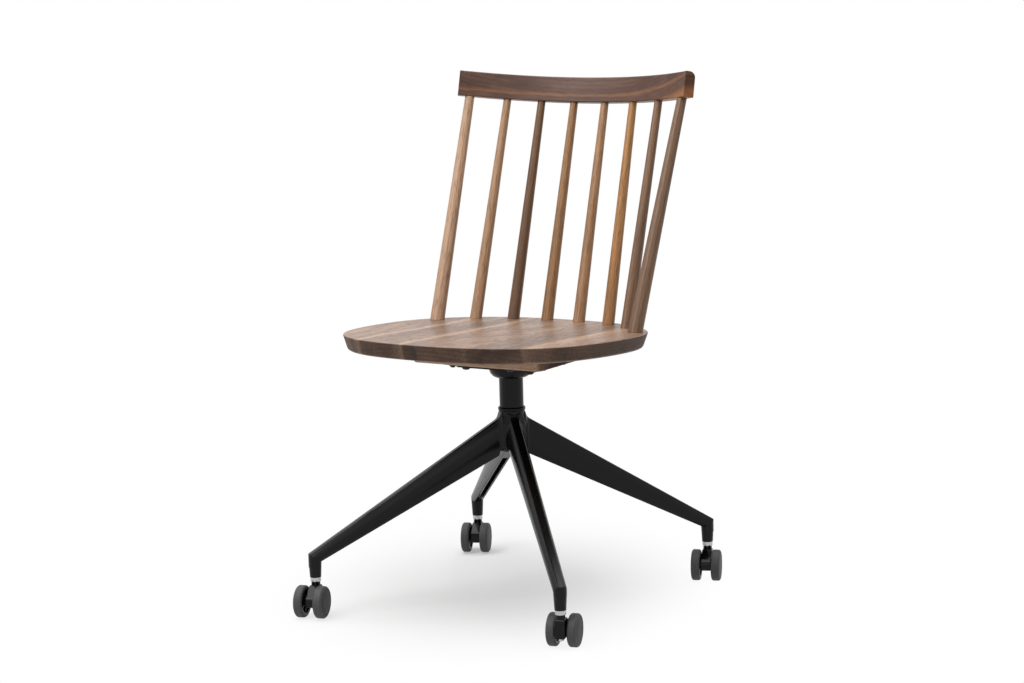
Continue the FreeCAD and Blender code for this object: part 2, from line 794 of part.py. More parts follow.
def make_sleeve():
    """Plastic sleeve pressed into the arm's socket."""
    return tube(sleeve_outer_diameter / 2.0, stem_diameter / 2.0 + sleeve_clearance, socket_bottom,
                socket_bottom + socket_bore_depth - 1.0)


def make_stem():
    """Plated stem: pin in the sleeve, collar below the arm and journal through the housing."""
    collar_bottom = socket_bottom - stem_collar_height
    pin = cylinder(stem_diameter / 2.0, socket_bottom - 1.0, socket_bottom + stem_length)
    pin = pin.makeChamfer(stem_end_chamfer, edges_at_level(pin, socket_bottom + stem_length))
    collar = cylinder(stem_collar_diameter / 2.0, collar_bottom, socket_bottom)
    collar = collar.makeChamfer(stem_collar_chamfer, edges_at_level(collar, collar_bottom))
    journal = cylinder(stem_journal_diameter / 2.0, stem_journal_bottom, collar_bottom + 1.0)
    journal = journal.makeChamfer(stem_end_chamfer, edges_at_level(journal, stem_journal_bottom))
    return pin.fuse([collar, journal]).removeSplitter()


def make_housing():
    """Castor housing: drum round the axle, boss round the stem and a shoulder between them."""
    half = wheel_gap / 2.0 - housing_clearance
    neck_top = socket_bottom - stem_collar_height - castor_gap
    shoulder = neck_top - housing_neck_height
    drum = housing_drum_radius
    boss = housing_boss_radius
    r = housing_shoulder_round

    def point(y, z):
        return Vector(-half, y, z)

    def on_drum(angle):
        a = math.radians(angle)
        return point(castor_trail + drum * math.cos(a), wheel_radius + drum * math.sin(a))

    low = math.degrees(math.asin((housing_bottom - wheel_radius) / drum))
    shoulder_point = point(boss - housing_shoulder_setback, shoulder)
    edges = [
        line(point(-boss, shoulder - r), point(-boss, housing_bottom)),
        line(point(-boss, housing_bottom), on_drum(low)),
        arc(on_drum(low), on_drum((low + housing_drum_top_angle) / 2.0), on_drum(housing_drum_top_angle)),
        line(on_drum(housing_drum_top_angle), shoulder_point),
        line(shoulder_point, point(-boss + r, shoulder)),
        corner_arc((-boss + r, shoulder - r), r, 90, 180, point),
    ]
    body = closed_face(edges).extrude(Vector(2 * half, 0, 0))
    sides = [e for e in body.Edges if e.BoundBox.XLength < 0.01]
    body = body.makeChamfer(housing_edge_chamfer, sides)
    neck = cylinder(housing_neck_diameter / 2.0, shoulder - 1.0, neck_top)
    body = body.fuse(neck).removeSplitter()
    stem_bore = cylinder(stem_journal_diameter / 2.0 + running_clearance, 0.0, tool_reach)
    axle_bore = Part.makeCylinder(axle_diameter / 2.0 + running_clearance, 4 * half,
                                  Vector(-2 * half, castor_trail, wheel_radius), Vector(1, 0, 0))
    return body.cut([stem_bore, axle_bore])


def wheel_inner_x():
    """Distance from the castor's middle plane to the inner face of a wheel."""
    return wheel_gap / 2.0


def make_axle():
    """Axle pin through the housing and both wheels."""
    half = wheel_inner_x() + wheel_width - wheel_face_thickness - wheel_face_dome - axle_end_gap
    pin = Part.makeCylinder(axle_diameter / 2.0, 2 * half, Vector(-half, castor_trail, wheel_radius),
                            Vector(1, 0, 0))
    ends = [e for e in pin.Edges if e.BoundBox.XLength < 0.01]
    return pin.makeChamfer(axle_end_chamfer, ends)


def spin_about_axle(face):
    """Revolve a wheel section about the axle."""
    return face.revolve(Vector(0, castor_trail, wheel_radius), Vector(1, 0, 0), 360)


def make_wheel():
    """Right-hand wheel: closed outer disc, rim, hub boss and ribs on the inner side."""
    inner = wheel_inner_x()
    outer = inner + wheel_width
    rim_outer = wheel_radius - tread_thickness - tread_fit
    rim_inner = rim_outer - rim_thickness
    face_outer = outer - wheel_face_dome
    face_inner = face_outer - wheel_face_thickness
    boss = wheel_boss_diameter / 2.0
    bore = axle_diameter / 2.0 + running_clearance

    def point(x, r):
        return Vector(x, castor_trail, wheel_radius + r)

    edges = [
        line(point(inner, bore), point(inner, boss)),
        line(point(inner, boss), point(face_inner, boss)),
        line(point(face_inner, boss), point(face_inner, rim_inner)),
        line(point(face_inner, rim_inner), point(inner + tread_inset, rim_inner)),
        line(point(inner + tread_inset, rim_inner), point(inner + tread_inset, rim_outer)),
        line(point(inner + tread_inset, rim_outer), point(face_outer, rim_outer)),
        line(point(face_outer, rim_outer), point(outer, rim_outer * wheel_face_flat)),
        line(point(outer, rim_outer * wheel_face_flat), point(outer, 0)),
        line(point(outer, 0), point(face_inner, 0)),
        line(point(face_inner, 0), point(face_inner, bore)),
        line(point(face_inner, bore), point(inner, bore)),
    ]
    wheel = spin_about_axle(closed_face(edges))
    rib_depth = face_inner - inner - wheel_rib_inset + wheel_rib_overlap
    rib = Part.makeBox(rib_depth, wheel_rib_thickness, rim_inner - boss + 2.0 * wheel_rib_overlap,
                       Vector(inner + wheel_rib_inset, castor_trail - wheel_rib_thickness / 2.0,
                              wheel_radius + boss - wheel_rib_overlap))
    ribs = []
    for index in range(wheel_rib_count):
        copy = rib.copy()
        copy.rotate(Vector(0, castor_trail, wheel_radius), Vector(1, 0, 0), 360.0 * index / wheel_rib_count)
        ribs.append(copy)
    return wheel.fuse(ribs).removeSplitter()


def make_tread():
    """Right-hand tread: soft ring with rounded shoulders."""
    left = wheel_inner_x() + tread_inset
    right = wheel_inner_x() + wheel_width - tread_inset
    low = wheel_radius - tread_thickness
    high = wheel_radius
    s = tread_shoulder

    def point(x, r):
        return Vector(x, castor_trail, wheel_radius + r)

    edges = [
        line(point(left, low), point(left, high - s)),
        corner_arc((left + s, high - s), s, 180, 90, point),
        line(point(left + s, high), point(right - s, high)),
        corner_arc((right - s, high - s), s, 90, 0, point),
        line(point(right, high - s), point(right, low)),
        line(point(right, low), point(left, low)),
    ]
    return spin_about_axle(closed_face(edges))


def opposite(shape):
    """The same wheel piece on the other end of the axle."""
    result = shape.copy()
    result.rotate(Vector(0, castor_trail, wheel_radius), UP, 180)
    return result


def make_castors():
    """Four castors, each in its own direction."""
    pieces = {
        "sleeve": make_sleeve(),
        "stem": make_stem(),
        "housing": make_housing(),
        "axle": make_axle(),
        "right_wheel": make_wheel(),
        "left_wheel": opposite(make_wheel()),
        "right_tread": make_tread(),
        "left_tread": opposite(make_tread()),
    }
    for name in castor_directions:
        frame = castor_frame(name)
        for piece, shape in pieces.items():
            save("%s_castor_%s" % (name, piece), [moved(shape, frame)])


os.makedirs("parts", exist_ok=True)
make_seat_board()
make_seat_wedge()
make_mount_board()
make_crest_rail()
make_spindles()
make_fasteners()
make_swivel_plate()
make_column()
make_bushes()
make_retainer()
make_base_casting()
make_castors()
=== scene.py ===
"""Bankers swivel chair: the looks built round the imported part.

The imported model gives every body, node and shape. This script dresses them
in procedural finishes for their real materials, and sets a pale studio with
the photograph's camera.
"""

import json
import logging
import math
from dataclasses import dataclass, field
from enum import Enum

import bmesh
import bpy
from mathutils import Matrix, Vector


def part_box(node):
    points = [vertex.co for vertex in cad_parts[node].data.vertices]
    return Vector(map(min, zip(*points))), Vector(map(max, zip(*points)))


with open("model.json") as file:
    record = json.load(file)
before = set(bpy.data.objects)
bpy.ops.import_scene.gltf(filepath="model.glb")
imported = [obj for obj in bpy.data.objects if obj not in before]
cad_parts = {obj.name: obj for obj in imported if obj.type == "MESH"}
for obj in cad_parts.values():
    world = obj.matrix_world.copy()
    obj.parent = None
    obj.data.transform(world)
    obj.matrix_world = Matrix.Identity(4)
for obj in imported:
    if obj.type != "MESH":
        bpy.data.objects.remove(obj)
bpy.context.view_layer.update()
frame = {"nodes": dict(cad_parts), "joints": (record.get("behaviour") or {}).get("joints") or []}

LOG = logging.getLogger("chair")
MM = 0.001
# Blender's wave texture repeats about every 0.314 m at a scale of 1
WAVE_PERIOD = 0.314
# How far each seed moves a board in its tree, in metres
SEED_STEP = (0.37, 0.19, 0.53)


def srgb(code: str) -> tuple[float, float, float, float]:
    """Turn an sRGB hex colour into linear red, green, blue and alpha.

    Args:
        code: Colour such as "#5a4033".

    Returns:
        Linear colour with an alpha of 1.
    """
    channels = []
    for start in (1, 3, 5):
        value = int(code[start:start + 2], 16) / 255.0
        low = value <= 0.04045
        channels.append(value / 12.92 if low else ((value + 0.055) / 1.055) ** 2.4)
    return channels[0], channels[1], channels[2], 1.0


def add(tree: bpy.types.NodeTree, kind: str, values: dict | None = None, links: dict | None = None,
        stops: tuple = (), **settings: object) -> bpy.types.Node:
    """Add one shader node with its settings, socket values and links.

    Args:
        tree: Node tree that takes the node.
        kind: Node type without its "ShaderNode" prefix.
        values: Socket values by socket name or number.
        links: Output sockets that feed inputs, by socket name or number.
        stops: Colour ramp stops as (position, hex colour or grey level).
        **settings: Properties of the node.

    Returns:
        The new node.
    """
    node = tree.nodes.new("ShaderNode" + kind)
    for name, value in settings.items():
        setattr(node, name, value)
    for key, value in (values or {}).items():
        node.inputs[key].default_value = value
    for key, source in (links or {}).items():
        tree.links.new(source, node.inputs[key])
    for index, (position, tone) in enumerate(stops):
        elements = node.color_ramp.elements
        element = elements[index] if index < 2 else elements.new(position)
        element.position = position
        element.color = srgb(tone) if isinstance(tone, str) else (tone, tone, tone, 1.0)
    return node


class Patch(Enum):
    """How a walnut board shows pale sapwood."""

    NONE = "none"
    STREAKS = "streaks"
    CLOUDS = "clouds"


@dataclass(frozen=True)
class Finish:
    """A surface finish that builds one named material."""

    name: str

    def shade(self, tree: bpy.types.NodeTree) -> bpy.types.NodeSocket:
        """Build the shader. Each finish has its own."""
        raise NotImplementedError

    def material(self) -> bpy.types.Material:
        """Build the material, or return it if it is already there.

        Returns:
            The finished material.
        """
        known = bpy.data.materials.get(self.name)
        if known:
            return known
        made = bpy.data.materials.new(self.name)
        made.use_nodes = True
        tree = made.node_tree
        tree.nodes.clear()
        add(tree, "OutputMaterial", links={"Surface": self.shade(tree)})
        return made


@dataclass(frozen=True)
class Board:
    """How one piece of wood was cut: its grain line, the line across it and its place in the tree.

    The grain may bend: past bend_start along the grain line it climbs across
    the board with the square of the distance.
    """

    grain: tuple[float, float, float]
    pith: tuple[float, float] = (0.05, 0.09)
    seed: float = 0.0
    across: tuple[float, float, float] = (1.0, 0.0, 0.0)
    origin: float = 0.0
    bend: float = 0.0
    bend_start: float = 0.0

    def turn(self) -> tuple[float, float, float]:
        """Euler turn that brings Z onto the grain line."""
        return tuple(Vector(self.grain).to_track_quat("Z", "Y").to_euler())


@dataclass(frozen=True)
class Walnut(Finish):
    """American walnut, planed and sanded, under a thin satin oil.

    Straight dark growth lines and short open pores run along the grain over
    a brown that drifts from board to board, and pale sapwood breaks through.
    Sawn ends soak up the oil, so they are darker and duller than the faces.
    """

    board: Board = Board((0.0, 1.0, 0.0))
    dark: str = "#574337"
    heart: str = "#7b5f4c"
    pale: str = "#987961"
    sap: str = "#b8957a"
    figure_width: float = 38.0 * MM
    figure_length: float = 420.0 * MM
    figure_warp: float = 0.35
    figure_levels: tuple[float, float, float] = (0.28, 0.5, 0.74)
    ring_spacing: float = 7.0 * MM
    ring_stretch: float = 0.07
    ring_waver: float = 5.0
    ring_waver_scale: float = 0.16
    late_wood: tuple = ((0.45, 0.0), (0.97, 0.55), (1.0, 0.1))
    # Real pores are about 0.2 mm wide, too fine for a picture of the chair, so they are drawn coarser
    pore_width: float = 1.7 * MM
    pore_length: float = 26.0 * MM
    pore_tone: str = "#3a2a20"
    pore_levels: tuple = ((0.36, 1.0), (0.47, 0.15), (0.62, 0.0))
    pore_strength: float = 0.5
    pore_dulling: float = 0.16
    pore_relief: float = 0.25
    pore_depth: float = 0.15 * MM
    sapwood: Patch = Patch.NONE
    streaks: tuple = ()
    streak_wander: float = 0.05
    streak_width: float = 0.4
    streak_length: float = 400.0 * MM
    cloud_size: tuple[float, float] = (1.6, 2.0)
    cloud_levels: tuple = ((0.58, 0.0), (0.68, 0.9))
    staves: tuple = ()
    stave_span: float = 240.0 * MM
    stave_lift: tuple[float, float] = (0.72, 1.22)
    stave_jump: tuple[float, float, float] = (0.31, 0.17, 7.3)
    end_share: tuple[float, float, float] = (0.42, 0.42, 0.45)
    end_levels: tuple = ((0.25, 0.0), (0.85, 1.0))
    end_roughness: float = 0.7
    end_ior: float = 1.3
    # Painted shade: share of the dark, dull end-grain shader that every upright face takes
    painted_edge_shade: float = 0.0
    edge_shade_levels: tuple[float, float] = (0.45, 0.85)
    roughness: float = 0.36
    ior: float = 1.42
    eased_edge: float = 1.2 * MM

    def lengthwise(self, tree: bpy.types.NodeTree, place: bpy.types.NodeSocket, across: float,
                   along: float) -> bpy.types.NodeSocket:
        """Shrink the board's own coordinates so that a pattern has a real width and length.

        Args:
            tree: Node tree of the wood.
            place: Coordinates in the board's frame, with Z along the grain.
            across: Width of one pattern cell, in metres.
            along: Length of one pattern cell, in metres.

        Returns:
            Coordinates for a texture of scale 1.
        """
        share = (1.0 / across, 1.0 / across, 1.0 / along)
        return add(tree, "VectorMath", {1: share}, {0: place}, operation="MULTIPLY").outputs[0]

    def unbent(self, tree: bpy.types.NodeTree, here: bpy.types.NodeSocket) -> bpy.types.NodeSocket:
        """Take the board's bend out of the coordinates, so that its grain runs straight in them.

        Args:
            tree: Node tree of the wood.
            here: Coordinates in the part's frame.

        Returns:
            The same coordinates with the climb of the grain taken off.
        """
        run = add(tree, "VectorMath", {1: self.board.grain}, {0: here}, operation="DOT_PRODUCT")
        past = add(tree, "Math", {1: self.board.bend_start}, {0: run.outputs["Value"]},
                   operation="SUBTRACT")
        past = add(tree, "Math", {1: 0.0}, {0: past.outputs[0]}, operation="MAXIMUM")
        climb = add(tree, "Math", {1: 2.0}, {0: past.outputs[0]}, operation="POWER")
        climb = add(tree, "Math", {1: self.board.bend}, {0: climb.outputs[0]}, operation="MULTIPLY")
        shift = add(tree, "VectorMath", {0: self.board.across}, {"Scale": climb.outputs[0]},
                    operation="SCALE").outputs[0]
        return add(tree, "VectorMath", links={0: here, 1: shift}, operation="SUBTRACT").outputs[0]

    def place_across(self, tree: bpy.types.NodeTree,
                     here: bpy.types.NodeSocket) -> bpy.types.NodeSocket:
        """Measure how far across the board a point is.

        Args:
            tree: Node tree of the wood.
            here: Coordinates with straight grain.

        Returns:
            Place from 0 to 1 over the span that staves and streaks are given in.
        """
        across = add(tree, "VectorMath", {1: self.board.across}, {0: here}, operation="DOT_PRODUCT")
        across = add(tree, "Math", {1: self.board.origin}, {0: across.outputs["Value"]},
                     operation="SUBTRACT").outputs[0]
        return add(tree, "MapRange", {1: -self.stave_span, 2: self.stave_span}, {0: across}).outputs[0]

    def stops_across(self, levels: tuple) -> tuple:
        """Turn distances across the board into colour ramp stops.

        Args:
            levels: Pairs of distance in metres and level.

        Returns:
            Pairs of ramp position and level.
        """
        return tuple(((u + self.stave_span) / (2 * self.stave_span), level) for u, level in levels)

    def heartwood(self, tree: bpy.types.NodeTree, board: bpy.types.NodeSocket) -> bpy.types.NodeSocket:
        """Colour the heartwood with its slow figure and its dark growth lines.

        Args:
            tree: Node tree of the wood.
            board: Coordinates in the board's frame.

        Returns:
            The colour.
        """
        cells = self.lengthwise(tree, board, self.figure_width, self.figure_length)
        figure = add(tree, "TexNoise", {"Scale": 1.0, "Detail": 3.0, "Distortion": self.figure_warp},
                     {"Vector": cells})
        tones = tuple(zip(self.figure_levels, (self.dark, self.heart, self.pale)))
        tone = add(tree, "ValToRGB", links={0: figure.outputs[0]}, stops=tones).outputs[0]
        pith = (self.board.pith[0], self.board.pith[1], 0.0)
        centred = add(tree, "VectorMath", {1: pith}, {0: board}, operation="SUBTRACT").outputs[0]
        long_rings = add(tree, "VectorMath", {1: (1.0, 1.0, self.ring_stretch)}, {0: centred},
                         operation="MULTIPLY").outputs[0]
        shape = {"Scale": WAVE_PERIOD / self.ring_spacing, "Distortion": self.ring_waver,
                 "Detail": 2.0, "Detail Scale": self.ring_waver_scale}
        rings = add(tree, "TexWave", shape, {"Vector": long_rings}, wave_type="RINGS",
                    rings_direction="Z", wave_profile="SAW")
        late = add(tree, "ValToRGB", links={0: rings.outputs[1]}, stops=self.late_wood).outputs[0]
        return add(tree, "Mix", {7: srgb(self.dark)}, {0: late, 6: tone}, data_type="RGBA").outputs[2]

    def with_sapwood(self, tree: bpy.types.NodeTree, tone: bpy.types.NodeSocket,
                     here: bpy.types.NodeSocket, board: bpy.types.NodeSocket) -> bpy.types.NodeSocket:
        """Let pale sapwood break through, in streaks at given places or in clouds.

        Args:
            tree: Node tree of the wood.
            tone: Colour of the heartwood.
            here: Coordinates with straight grain.
            board: Coordinates in the board's frame.

        Returns:
            The colour with its sapwood.
        """
        if self.sapwood is Patch.NONE:
            return tone
        if self.sapwood is Patch.STREAKS:
            cells = self.lengthwise(tree, here, self.stave_span * self.streak_width, self.streak_length)
            wander = add(tree, "TexNoise", {"Scale": 1.0, "Detail": 2.0}, {"Vector": cells}).outputs[0]
            moved = add(tree, "Math", {1: self.streak_wander, 2: -self.streak_wander / 2.0},
                        {0: wander}, operation="MULTIPLY_ADD").outputs[0]
            place = add(tree, "Math", links={0: self.place_across(tree, here), 1: moved},
                        operation="ADD").outputs[0]
            share = add(tree, "ValToRGB", links={0: place}, stops=self.stops_across(self.streaks))
        else:
            wide, long = self.cloud_size
            cells = self.lengthwise(tree, board, self.figure_width * wide, self.figure_length * long)
            cloud = add(tree, "TexNoise", {"Scale": 1.0, "Detail": 1.0}, {"Vector": cells})
            share = add(tree, "ValToRGB", links={0: cloud.outputs[0]}, stops=self.cloud_levels)
        return add(tree, "Mix", {7: srgb(self.sap)}, {0: share.outputs[0], 6: tone},
                   data_type="RGBA").outputs[2]

    def end_grain_and_edge_shade(self, tree: bpy.types.NodeTree) -> bpy.types.NodeSocket:
        """Find the end grain, and the upright faces that take painted shade where the board has it.

        Args:
            tree: Node tree of the wood.

        Returns:
            Share of end grain and of painted edge shade, from 0 on the faces to 1.
        """
        facing = add(tree, "NewGeometry").outputs["Normal"]
        lie = add(tree, "VectorMath", {1: self.board.grain}, {0: facing}, operation="DOT_PRODUCT")
        across_end = add(tree, "Math", links={0: lie.outputs["Value"]}, operation="ABSOLUTE").outputs[0]
        end = add(tree, "ValToRGB", links={0: across_end}, stops=self.end_levels).outputs[0]
        if not self.painted_edge_shade:
            return end
        # Painted shade: upright faces take the dark end-grain shader too, whichever way their grain
        # runs
        rise = add(tree, "SeparateXYZ", links={0: facing}).outputs["Z"]
        level = add(tree, "Math", links={0: rise}, operation="ABSOLUTE").outputs[0]
        low, high = self.edge_shade_levels
        upright_shade = add(tree, "MapRange", {1: low, 2: high, 3: self.painted_edge_shade, 4: 0.0},
                      {0: level}).outputs[0]
        return add(tree, "Math", links={0: end, 1: upright_shade}, operation="MAXIMUM").outputs[0]

    def shade(self, tree: bpy.types.NodeTree) -> bpy.types.NodeSocket:
        """Build the walnut shader.

        Args:
            tree: Node tree of the material.

        Returns:
            The shader's output socket.
        """
        here = add(tree, "TexCoord").outputs["Object"]
        if self.board.bend:
            here = self.unbent(tree, here)
        offset = tuple(self.board.seed * step for step in SEED_STEP)
        board = add(tree, "Mapping", {"Location": offset, "Rotation": self.board.turn()},
                    {"Vector": here}, vector_type="TEXTURE").outputs[0]
        stave = None
        if self.staves:
            ramp = add(tree, "ValToRGB", links={0: self.place_across(tree, here)},
                       stops=self.stops_across(self.staves))
            ramp.color_ramp.interpolation = "CONSTANT"
            stave = ramp.outputs[0]
            jump = add(tree, "CombineXYZ", links={2: stave}).outputs[0]
            board = add(tree, "VectorMath", {1: self.stave_jump}, {0: jump, 2: board},
                        operation="MULTIPLY_ADD").outputs[0]
        tone = self.with_sapwood(tree, self.heartwood(tree, board), here, board)
        if stave:
            low, high = self.stave_lift
            lift = add(tree, "MapRange", {3: low, 4: high}, {0: stave}).outputs[0]
            tone = add(tree, "VectorMath", links={0: tone, "Scale": lift}, operation="SCALE").outputs[0]
        cells = self.lengthwise(tree, board, self.pore_width, self.pore_length)
        pores = add(tree, "TexNoise", {"Scale": 1.0, "Detail": 2.0, "Roughness": 0.6},
                    {"Vector": cells})
        pore = add(tree, "ValToRGB", links={0: pores.outputs[0]}, stops=self.pore_levels).outputs[0]
        pore_mix = add(tree, "Math", {1: self.pore_strength}, {0: pore},
                       operation="MULTIPLY").outputs[0]
        tone = add(tree, "Mix", {7: srgb(self.pore_tone)}, {0: pore_mix, 6: tone},
                   data_type="RGBA").outputs[2]
        end_tone = add(tree, "VectorMath", {1: self.end_share}, {0: tone},
                       operation="MULTIPLY").outputs[0]
        polish = add(tree, "MapRange", {3: self.roughness, 4: self.roughness + self.pore_dulling},
                     {0: pore}).outputs[0]
        eased = add(tree, "Bevel", {"Radius": self.eased_edge}, samples=4).outputs[0]
        relief = add(tree, "Bump", {"Strength": self.pore_relief, "Distance": self.pore_depth},
                     {"Height": pore, "Normal": eased}, invert=True).outputs[0]
        face = add(tree, "BsdfPrincipled", {"IOR": self.ior},
                   {"Base Color": tone, "Roughness": polish, "Normal": relief}).outputs[0]
        end = add(tree, "BsdfPrincipled", {"IOR": self.end_ior, "Roughness": self.end_roughness},
                  {"Base Color": end_tone, "Normal": relief}).outputs[0]
        return add(tree, "MixShader", links={0: self.end_grain_and_edge_shade(tree), 1: face, 2: end}).outputs[0]


@dataclass(frozen=True)
class Coated(Finish):
    """A coloured skin on metal or plastic: powder coat, plating or a moulded surface.

    A fine waviness, such as orange peel or a spark-eroded mould leaves, keeps
    its reflections from being mirror-like, and its gloss drifts a little. The
    grain of moulded, ground and oxided surfaces is too fine for a picture of
    the chair, so it is drawn coarser than it is.
    """

    colour: str
    roughness: float
    drift: float
    grain: float
    relief: float
    metallic: float = 0.0
    ior: float = 1.5
    tint: str = ""
    eased_edge: float = 0.6 * MM
    cloud_size: float = 20.0

    def shade(self, tree: bpy.types.NodeTree) -> bpy.types.NodeSocket:
        """Build the coated shader.

        Args:
            tree: Node tree of the material.

        Returns:
            The shader's output socket.
        """
        here = add(tree, "TexCoord").outputs["Object"]
        wave = add(tree, "TexNoise", {"Scale": 1.0 / self.grain, "Detail": 2.0},
                   {"Vector": here}).outputs[0]
        cloud = add(tree, "TexNoise", {"Scale": 1.0 / (self.grain * self.cloud_size), "Detail": 2.0},
                    {"Vector": here}).outputs[0]
        gloss = add(tree, "MapRange", {3: self.roughness - self.drift, 4: self.roughness + self.drift},
                    {0: cloud}).outputs[0]
        other = self.tint or self.colour
        tone = add(tree, "Mix", {6: srgb(self.colour), 7: srgb(other)}, {0: cloud},
                   data_type="RGBA").outputs[2]
        eased = add(tree, "Bevel", {"Radius": self.eased_edge}, samples=4).outputs[0]
        bump = add(tree, "Bump", {"Strength": 0.5, "Distance": self.relief},
                   {"Height": wave, "Normal": eased}).outputs[0]
        values = {"Metallic": self.metallic}
        if not self.metallic:
            values["IOR"] = self.ior
        return add(tree, "BsdfPrincipled", values,
                   {"Base Color": tone, "Roughness": gloss, "Normal": bump}).outputs[0]


# Dark grey polypropylene of the wheels' outer discs: matt, with a fine moulded grain
DISC_GREY = Coated("grey_polypropylene", "#191615", 0.5, 0.05, 0.7 * MM, 0.03 * MM, ior=1.3)


@dataclass(frozen=True)
class WheelPlastic(Coated):
    """A castor wheel: black moulded body with a grey disc snapped on its outer side."""

    centre: tuple[float, float, float] = (0.0, 0.0, 0.0)
    outward: tuple[float, float, float] = (1.0, 0.0, 0.0)
    disc_from: float = 18.0 * MM
    disc: Coated = DISC_GREY

    def shade(self, tree: bpy.types.NodeTree) -> bpy.types.NodeSocket:
        """Build the two-coloured shader.

        Args:
            tree: Node tree of the material.

        Returns:
            The shader's output socket.
        """
        body = super().shade(tree)
        here = add(tree, "TexCoord").outputs["Object"]
        away = add(tree, "VectorMath", {1: self.centre}, {0: here}, operation="SUBTRACT").outputs[0]
        depth = add(tree, "VectorMath", {1: self.outward}, {0: away}, operation="DOT_PRODUCT")
        on_disc = add(tree, "Math", {1: self.disc_from}, {0: depth.outputs["Value"]},
                      operation="GREATER_THAN").outputs[0]
        return add(tree, "MixShader", links={0: on_disc, 1: body, 2: self.disc.shade(tree)}).outputs[0]


# Powder coat over die-cast aluminium: deep black with a soft, slightly wavy shine
CAST_BLACK = Coated("powder_coated_casting", "#0a0a0a", 0.25, 0.04, 3.0 * MM, 0.006 * MM, ior=1.28,
                    eased_edge=1.6 * MM)
# The same coat on turned steel tube and pressed plate
STEEL_BLACK = Coated("powder_coated_steel", "#0a0a0a", 0.32, 0.04, 3.0 * MM, 0.006 * MM, ior=1.27)
# Black oxide on steel screws: dull with a faint oily gloss
SCREW_BLACK = Coated("black_oxide_screws", "#0c0c0c", 0.42, 0.06, 0.8 * MM, 0.01 * MM, ior=1.4)
# Bright nickel-chrome plate on the castor stems
PLATED = Coated("bright_plated_steel", "#b4b5b4", 0.16, 0.04, 1.5 * MM, 0.004 * MM, metallic=1.0)
# Turned and ground steel of the swivel shaft, axles, washer and clip
GROUND_STEEL = Coated("ground_steel", "#9a9b9c", 0.3, 0.06, 0.6 * MM, 0.01 * MM, metallic=1.0)
# Glossy glass-filled nylon of the castor bodies
NYLON_BLACK = Coated("moulded_black_nylon", "#070707", 0.12, 0.04, 1.8 * MM, 0.01 * MM, ior=1.28)
# Soft grey polyurethane of the treads: matt, with a dusty bloom
TREAD_GREY = Coated("soft_grey_polyurethane", "#464546", 0.62, 0.05, 0.9 * MM, 0.02 * MM, ior=1.4,
                    tint="#3f3e3f")
# Black acetal of bushes, sleeves and the hub's cap
ACETAL = Coated("black_acetal", "#101010", 0.4, 0.05, 1.0 * MM, 0.01 * MM, ior=1.4)


def dress(node: str, finish: Finish) -> None:
    """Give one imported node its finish, in all its material slots.

    Args:
        node: Name of the node.
        finish: Finish that it gets.
    """
    thing = frame["nodes"][node]
    made = finish.material()
    if not thing.material_slots:
        thing.data.materials.append(made)
    for place in thing.material_slots:
        place.material = made
    LOG.info("dressed %s in %s", node, finish.name)


@dataclass
class Seat:
    """Plank seat of edge-glued staves, with its wedge, flat board and screws.

    Seams and streaks are given by their distance across the seat, in metres,
    from left to right.
    """

    grain_turn: float = 4.0
    pith: tuple[float, float] = (0.03, -0.16)
    staves: tuple = ((-0.24, 0.6), (-0.095, 0.38), (-0.015, 0.7), (0.064, 0.5), (0.139, 0.78))
    streaks: tuple = ((-0.24, 0.0), (-0.146, 0.0), (-0.129, 0.75), (-0.124, 0.05), (-0.062, 0.0),
                      (-0.045, 0.8), (-0.040, 0.0), (0.139, 0.0), (0.1395, 0.45), (0.16, 0.1),
                      (0.24, 0.0))
    # The broad top is sanded finer, so it has a little more sheen than the rail
    ior: float = 1.46
    # The front of the moulded edge is end grain and darker for it; all its upright faces are also
    # painted darker and duller, as painted shade under the light from above
    painted_edge_shade: float = 0.9
    under_pith: tuple[float, float] = (0.1, 0.06)
    under_seed: float = 4.0

    def wood(self) -> Walnut:
        """Walnut of the seat, with its staves and sapwood streaks.

        Returns:
            The seat's finish.
        """
        turn = math.radians(self.grain_turn)
        grain = (-math.sin(turn), math.cos(turn), 0.0)
        across = (math.cos(turn), math.sin(turn), 0.0)
        return Walnut("seat_walnut_staves", Board(grain, self.pith, across=across), ior=self.ior,
                      painted_edge_shade=self.painted_edge_shade, sapwood=Patch.STREAKS, staves=self.staves,
                      streaks=self.streaks)

    def build(self) -> None:
        """Dress the seat board and the pieces under it."""
        dress("seat_board", self.wood())
        # Plainer walnut that is only wiped with oil: duller, and mottled with clouds of sapwood; its
        # browns are also painted darker, as painted shade under the seat
        under = Board((1.0, 0.0, 0.0), self.under_pith, self.under_seed)
        brown = Walnut("underside_walnut_painted_shade", under, heart="#6a4f3c", dark="#4f3b2d", pale="#7d6149",
                       sapwood=Patch.CLOUDS, roughness=0.5)
        for node in ("seat_wedge", "mount_board"):
            dress(node, brown)
        for node in ("seat_screws", "mount_board_screws", "plate_bolts"):
            dress(node, SCREW_BLACK)


